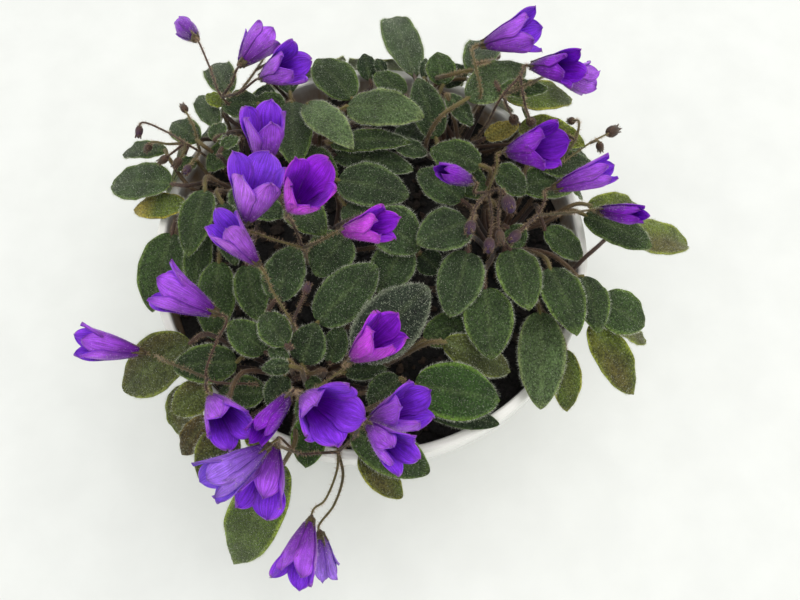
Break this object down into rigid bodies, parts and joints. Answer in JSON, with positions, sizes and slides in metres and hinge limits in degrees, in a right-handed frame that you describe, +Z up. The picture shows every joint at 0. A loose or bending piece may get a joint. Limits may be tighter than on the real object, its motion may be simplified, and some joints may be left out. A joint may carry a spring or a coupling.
{
  "type": "potted african violet",
  "caption": "Bushy houseplant with hairy oval leaves and violet bell flowers on thin forked stalks, growing from soil in a round white pot",
  "frame": {"origin": "centre of the pot's base, on the surface that it stands on", "axes": "+Z up along the pot's axis; +X to the right and +Y away as seen in the picture"},
  "size_m": [0.2643, 0.2699, 0.1785],
  "materials": {
    "pot": "smooth glossy white",
    "soil": "coarse dark potting mix of bark and peat",
    "leaf": "matt hairy green leaf",
    "stalk": "matt hairy brown stalk",
    "petal": "soft violet petal with a fine sheen"
  },
  "bodies": {
    "root": {"pot": "pot", "soil": "soil", "leafy_crown_left": "leaf", "leafy_crown_back": "leaf", "leafy_crown_upper": "leaf", "leafy_crown_centre": "leaf", "leafy_crown_right": "leaf", "leafy_crown_front": "leaf", "flower_stalks_left_back": "stalk", "flower_stalks_left_buds": "stalk", "flower_stalks_centre": "stalk", "flower_stalks_centre_low": "stalk", "flower_stalks_front_left": "stalk", "flower_stalks_front": "stalk", "flower_stalks_bottom": "stalk", "flower_stalks_right": "stalk", "flower_stalks_far_right": "stalk", "flower_stalks_upper": "stalk", "flower_stalks_upper_left": "stalk", "flower_stalks_upper_right": "stalk", "bloom_1": "petal", "bloom_2": "petal", "bloom_3": "petal", "bloom_4": "petal", "bloom_5": "petal", "bloom_6": "petal", "bloom_7": "petal", "bloom_8": "petal", "bloom_9": "petal", "bloom_10": "petal", "bloom_11": "petal", "bloom_12": "petal", "bloom_13": "petal", "bloom_14": "petal", "bloom_15": "petal", "bloom_16": "petal", "bloom_17": "petal", "bloom_18": "petal", "bloom_19": "petal", "bloom_20": "petal", "bloom_21": "petal", "bloom_22": "petal", "bloom_23": "petal", "bloom_24": "petal", "bloom_25": "petal", "bloom_26": "petal", "bloom_27": "petal"}
  },
  "joints": []
}
